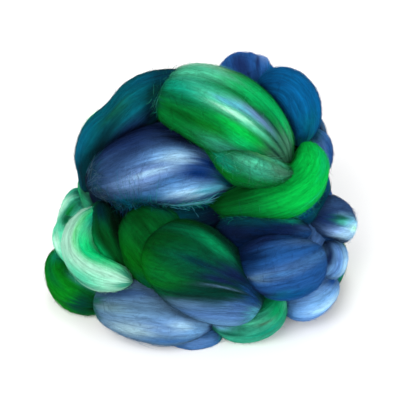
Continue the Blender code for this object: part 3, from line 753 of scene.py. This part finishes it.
# Tufts where the wool has come loose, by the leg they grow from. They fly with the flying strands, in
# these dye pots, or in the leg's own dye and painted shade where no pots are named. Glow scales the pots.
tufts = {
    "upperRightBelly": [
        {"count": 210, "along": (0.01, 0.1), "around": (-60, 90), "length": (-0.1, 0.06), "drift": 0.6,
         "lift": 3.0, "curl": 2.0, "pots": ("sea", "foam", "fern", "teal"), "glow": 0.42},
        {"count": 60, "along": (0.3, 0.9), "around": (70, 110), "length": (0.05, 0.2), "drift": 0.3,
         "lift": 1.6, "curl": 0.8}],
    "underRightBelly": [
        {"count": 250, "along": (0.12, 0.97), "around": (-60, 70), "length": (-0.07, 0.09), "drift": 0.5,
         "lift": 0.4, "curl": 0.5, "pots": ("mint", "sage", "sea", "grass"), "glow": 0.34}],
    "upperLeftBelly": [
        {"count": 260, "along": (0.12, 0.45), "around": (40, 70), "length": (0.02, 0.12), "drift": 0.5,
         "lift": 4.4, "curl": 2.0, "pots": ("ocean", "teal", "fern", "denim"), "glow": 0.6},
        {"count": 300, "along": (0.45, 0.88), "around": (62, 94), "length": (0.02, 0.12), "drift": 0.4,
         "lift": 3.6, "curl": 1.8, "pots": ("ocean", "teal", "foam", "aqua"), "glow": 0.6},
        {"count": 200, "along": (0.26, 0.42), "around": (52, 84), "length": (-0.05, 0.06), "drift": 0.5,
         "lift": 6.0, "curl": 2.6, "pots": ("ocean", "teal", "fern"), "glow": 0.7},
        {"count": 16, "along": (0.5, 0.6), "around": (62, 74), "length": (0.3, 0.4), "drift": 0.08,
         "lift": 1.6, "curl": 0.5, "pots": ("slate", "sea", "aqua"), "glow": 1.0},
        {"count": 150, "along": (0.03, 0.12), "around": (-60, 80), "length": (0.04, 0.14), "drift": 0.35,
         "lift": 1.2, "curl": 0.6, "pots": ("mist", "denim", "teal"), "glow": 0.36}],
    "upperRightBend": [
        {"count": 150, "along": (0.8, 0.96), "around": (-34, -12), "length": (-0.06, 0.06), "drift": 0.5,
         "lift": 1.5, "curl": 1.0, "pots": ("fern", "grass", "bottle"), "glow": 0.45},
        {"count": 190, "along": (0.66, 0.82), "around": (-66, -42), "length": (-0.05, 0.05), "drift": 0.4,
         "lift": 2.4, "curl": 1.4, "pots": ("sea", "foam", "grass"), "glow": 0.42},
        {"count": 250, "along": (0.5, 0.68), "around": (-86, -62), "length": (-0.05, 0.05), "drift": 0.4,
         "lift": 2.8, "curl": 1.6, "pots": ("sea", "foam", "clover"), "glow": 0.5},
        {"count": 150, "along": (0.34, 0.5), "around": (-90, -66), "length": (-0.04, 0.04), "drift": 0.4,
         "lift": 2.2, "curl": 1.3, "pots": ("sea", "fern", "clover"), "glow": 0.4}],
    "overRightBelly": [
        {"count": 240, "along": (0.16, 0.74), "around": (-26, -6), "length": (-0.08, 0.1), "drift": 0.14,
         "lift": 0.9, "curl": 0.9, "pots": ("foam", "fern", "teal", "pine"), "glow": 0.4},
        {"count": 110, "along": (0.1, 0.9), "around": (-30, 80), "length": (0.04, 0.16), "drift": 0.5,
         "lift": 1.4, "curl": 1.2}],
    "lowerMiddleBelly": [
        {"count": 60, "along": (0.3, 0.7), "around": (-20, 40), "length": (0.1, 0.3), "drift": 0.3,
         "lift": 1.0, "curl": 0.6}],
}
tuftForm = {"free": True, "points": 9}

# every loose fibre: its thickness, spread, curl, colour and ends, in millimetres and shares
strand = {"thickness": 0.07, "thinEnds": (0.08, 0.92), "roundness": 0.5, "specular": 0.04, "roughness": 0.7,
          "ends": (0.01, 0.99), "wobble": 0.05, "clear": 0.05, "liftShape": 2.0, "liftPower": 1.6,
          "curlSpread": (0.3, 1.5), "curlTurns": (0.5, 1.4), "curlStart": (-0.5, 0.5), "aboveFloor": 0.3,
          "paler": (0.85, 1.8), "darkest": 0.001, "usualWidth": 50, "countPower": 1.3, "fewest": 4}


def looseFibre():
    # base colour: the colour of the mesh's own points, dye with painted shade
    material, shader, dyeAndShading = newMaterial("loose fibre", strand["specular"])
    shader.inputs["Roughness"].default_value = strand["roughness"]
    material.node_tree.links.new(dyeAndShading.outputs["Color"], shader.inputs["Base Color"])
    return material


def sampleGrid(values, t, angle, rowPlace, columnPlace):
    # bilinear lookup on a leg's grid, which wraps around: each neighbour by one less its distance
    row = np.clip(rowPlace, 0, len(t) - 1.001)
    i = row.astype(int)
    f = (row - i)[..., None]
    count = len(angle)
    column = columnPlace % count
    j = column.astype(int)
    g = (column - j)[..., None]
    k = (j + 1) % count
    j = j % count
    top = values[i, j] * (1 - g) + values[i, k] * g
    low = values[i + 1, j] * (1 - g) + values[i + 1, k] * g
    return top * (1 - f) + low * f


def strandPaths(shape, rng, kind, count):
    # A fibre follows the leg from its start by length x s and drifts about it by drift x s. It stands off
    # by lift x s^power, or lift x sin(pi s) if it isn't free, and curls by curl x a sine of s.
    rows, columns = shape["points"].shape[:2]
    s = np.linspace(0, 1, kind["points"])[None, :]
    start = rng.uniform(*kind["along"], (count, 1))
    length = rng.uniform(*kind["length"], (count, 1))
    turn = np.radians(rng.uniform(*kind["around"], (count, 1)))
    drift = rng.normal(0, kind["drift"], (count, 1))
    drift = drift + rng.normal(0, strand["wobble"], (count, 1)) * np.sin(2 * np.pi * s)
    t = np.clip(start + length * s, *strand["ends"])
    angle = turn + drift * s
    rowPlace = np.interp(t, shape["t"], np.arange(rows))
    wide = np.concatenate([shape["angle"], [shape["angle"][0] + 2 * np.pi]])
    columnPlace = np.interp((angle - wide[0]) % (2 * np.pi) + wide[0], wide, np.arange(columns + 1))
    base, normal, color = (sampleGrid(shape[grid], shape["t"], shape["angle"], rowPlace, columnPlace)
                           for grid in ("points", "normals", "dyeAndShading"))
    if "pots" in kind:
        pots = np.stack([screenToLinear(dyes[pot]) for pot in kind["pots"]]) * kind["glow"]
        color = np.zeros_like(color) + pots[rng.integers(0, len(pots), (count, 1))]
    rise = rng.gamma(strand["liftShape"], kind["lift"] / strand["liftShape"], (count, 1))
    arch = s ** strand["liftPower"] if kind["free"] else np.sin(np.pi * s)
    path = base + normal * (rise * arch + strand["clear"])[..., None]
    sway = unit(rng.normal(0, 1, (count, 1, 3))) * kind["curl"]
    sway = sway * rng.uniform(*strand["curlSpread"], (count, 1, 1))
    turns = rng.uniform(*strand["curlTurns"], (count, 1)) * s
    waves = np.sin(2 * np.pi * turns + rng.uniform(*strand["curlStart"], (count, 1)))
    path = path + sway * (waves * arch)[..., None]
    path[..., 2] = np.maximum(path[..., 2], strand["aboveFloor"])
    paler = rng.uniform(*strand["paler"], (count, 1, 1))
    return path, np.clip(color * paler + strand["darkest"], 0, 1)


def tubes(paths, colors, name):
    # a tube of three sides on each path, with radius thickness x sin(pi s)^roundness, closed to a point
    # at both ends
    sides = 3
    leaning = np.array([0.31, 0.47, 0.83])
    count, points = paths.shape[:2]
    slope = unit(np.gradient(paths, axis=1) + 1e-9)
    side = unit(np.cross(slope, leaning))
    up = np.cross(side, slope)
    turns = 2 * np.arange(sides) * np.pi / sides
    s = np.linspace(*strand["thinEnds"], points)
    radius = strand["thickness"] * np.sin(np.pi * s) ** strand["roundness"]
    ring = (np.cos(turns)[:, None] * side[:, :, None] + np.sin(turns)[:, None] * up[:, :, None])
    rings = paths[:, 1:-1, None] + ring[:, 1:-1] * radius[1:-1, None, None]
    block = sides * (points - 2) + 2
    verts = np.concatenate([rings.reshape(count, -1, 3), paths[:, :1], paths[:, -1:]], 1)
    tint = np.concatenate([np.repeat(colors[:, 1:-1], sides, 1), colors[:, :1], colors[:, -1:]], 1)
    i, j = np.meshgrid(np.arange(points - 3), np.arange(sides), indexing="ij")
    k = (j + 1) % sides
    here, above = i * sides, (i + 1) * sides
    quads = np.stack([here + j, here + k, above + k, above + j], -1).reshape(-1, 4)
    first = np.arange(sides)
    second = (first + 1) % sides
    last = sides * (points - 3)
    fans = np.concatenate([np.stack([np.full(sides, block - 2), second, first], -1),
                           np.stack([np.full(sides, block - 1), last + first, last + second], -1)])
    offset = (np.arange(count) * block)[:, None, None]
    mesh = bpy.data.meshes.new(name)
    faces = (quads + offset).reshape(-1, 4).tolist() + (fans + offset).reshape(-1, 3).tolist()
    mesh.from_pydata((verts.reshape(-1, 3) * mm).tolist(), [], faces)
    paint(mesh, tint.reshape(-1, 3))
    return mesh


def makeFuzz(shapes, names, kind, title, material, seed):
    # one kind of loose fibre on the named legs, in one mesh: count x (width / usual width)^power each
    rng = np.random.default_rng(seed)
    paths, colors = [], []
    for name in names:
        leg = shapes[name]["leg"]
        size = (leg["wide"] / strand["usualWidth"]) ** strand["countPower"] * leg.get("fuzzy", 1)
        wanted = [(fuzz[kind], max(strand["fewest"], int(fuzz[kind]["count"] * size)))]
        if kind == "flying":
            wanted += [({**tuftForm, **tuft}, tuft["count"]) for tuft in tufts.get(name, [])]
        for looks, count in wanted:
            path, color = strandPaths(shapes[name], rng, looks, count)
            paths.append(path)
            colors.append(color)
    mesh = tubes(np.concatenate(paths), np.concatenate(colors), title)
    return addPiece(mesh, title, material)


ground = {"size": 6, "color": (0.92, 0.92, 0.92, 1), "roughness": 0.9}


def makeFloor():
    # a plain square at z = 0
    bpy.ops.mesh.primitive_plane_add(size=ground["size"], location=(0, 0, 0))
    floor = bpy.context.object
    floor.name = "floor"
    material = bpy.data.materials.new("pale floor")
    material.use_nodes = True
    shader = material.node_tree.nodes["Principled BSDF"]
    shader.inputs["Base Color"].default_value = ground["color"]
    shader.inputs["Roughness"].default_value = ground["roughness"]
    floor.data.materials.append(material)


# where the camera stands, for a square picture: degrees, metres and pixels
shot = {"lift": 34.0, "away": 0.9, "target": (0.0, 0.0, 0.066), "mmPerPixel": 1 / 1.55, "pixels": 400}

# soft studio light: place, size, power and tint of each lamp, and the strength of the white surroundings
lamps = {
    "keyLamp": {"place": (-0.45, -0.85, 0.95), "size": 0.8, "watts": 14, "tint": (1.0, 0.99, 0.97)},
    "fillLamp": {"place": (0.85, -0.85, 0.45), "size": 0.9, "watts": 8, "tint": (0.96, 0.98, 1.0)},
    "lowLamp": {"place": (-0.1, -1.2, 0.22), "size": 0.8, "watts": 8, "tint": (1.0, 1.0, 1.0)},
    "topLamp": {"place": (0.1, 0.55, 1.2), "size": 0.8, "watts": 6, "tint": (1.0, 1.0, 1.0)},
}
surroundings = 0.55


def lookAlong(aim):
    # turned about Z to face the aim, then tipped down to it: both angles are arc tangents
    flat = math.hypot(aim[0], aim[1])
    return (math.pi / 2 + math.atan2(aim[2], flat), 0, math.atan2(aim[1], aim[0]) - math.pi / 2)


def makeLights():
    # each lamp faces the camera's target: aim = target - place
    for name, lamp in lamps.items():
        light = bpy.data.lights.new(name, "AREA")
        light.energy = lamp["watts"]
        light.size = lamp["size"]
        light.color = lamp["tint"]
        holder = bpy.data.objects.new(name, light)
        holder.location = lamp["place"]
        holder.rotation_euler = lookAlong(np.array(shot["target"]) - np.array(lamp["place"]))
        bpy.context.scene.collection.objects.link(holder)
    world = bpy.data.worlds.new("studio")
    world.use_nodes = True
    sky = world.node_tree.nodes["Background"]
    sky.inputs["Color"].default_value = (1, 1, 1, 1)
    sky.inputs["Strength"].default_value = surroundings
    bpy.context.scene.world = world
    bpy.context.scene.view_settings.view_transform = "Standard"


def makeCamera():
    # away from the target, raised by the lift; lens = sensor width x distance / width of the view there
    data = bpy.data.cameras.new("camera")
    camera = bpy.data.objects.new("camera", data)
    tilt = math.radians(shot["lift"])
    x, y, z = shot["target"]
    camera.location = (x, y - shot["away"] * math.cos(tilt), z + shot["away"] * math.sin(tilt))
    camera.rotation_euler = lookAlong(np.array(shot["target"]) - np.array(camera.location))
    data.lens = data.sensor_width * shot["away"] / (shot["pixels"] * shot["mmPerPixel"] * mm)
    bpy.context.scene.collection.objects.link(camera)
    bpy.context.scene.camera = camera


makeCamera()
makeLights()
makeFloor()
print("camera, lights and floor are up")

shapes = {name: shapeLeg(name, number) for number, name in enumerate(legs)}
pressLegs(shapes)
print("legs shaped and pressed together:", len(shapes))

woolMaterial = combedWool(fibreGrain())
for name, shape in shapes.items():
    dyeAndShadeLeg(shape)
    makeLeg(name, shape, woolMaterial)
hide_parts("roving")

showing = [name for name in legs if legs[name]["tier"] != "core"]
backStart = showing.index(firstBackLeg)
front, back = showing[:backStart], showing[backStart:]
loose = looseFibre()
fuzzPieces = [("strandsFront", front, "laid", 11), ("strandsBack", back, "laid", 12),
              ("fliersFront", front, "flying", 15), ("fliersBack", back, "flying", 16),
              ("downFront", front, "down", 13), ("haloFront", front, "edgeDown", 17),
              ("downBack", back, "down", 14)]
for title, names, kind, seed in fuzzPieces:
    makeFuzz(shapes, names, kind, title, loose, seed)
print("loose fibres laid:", len(fuzzPieces), "pieces")
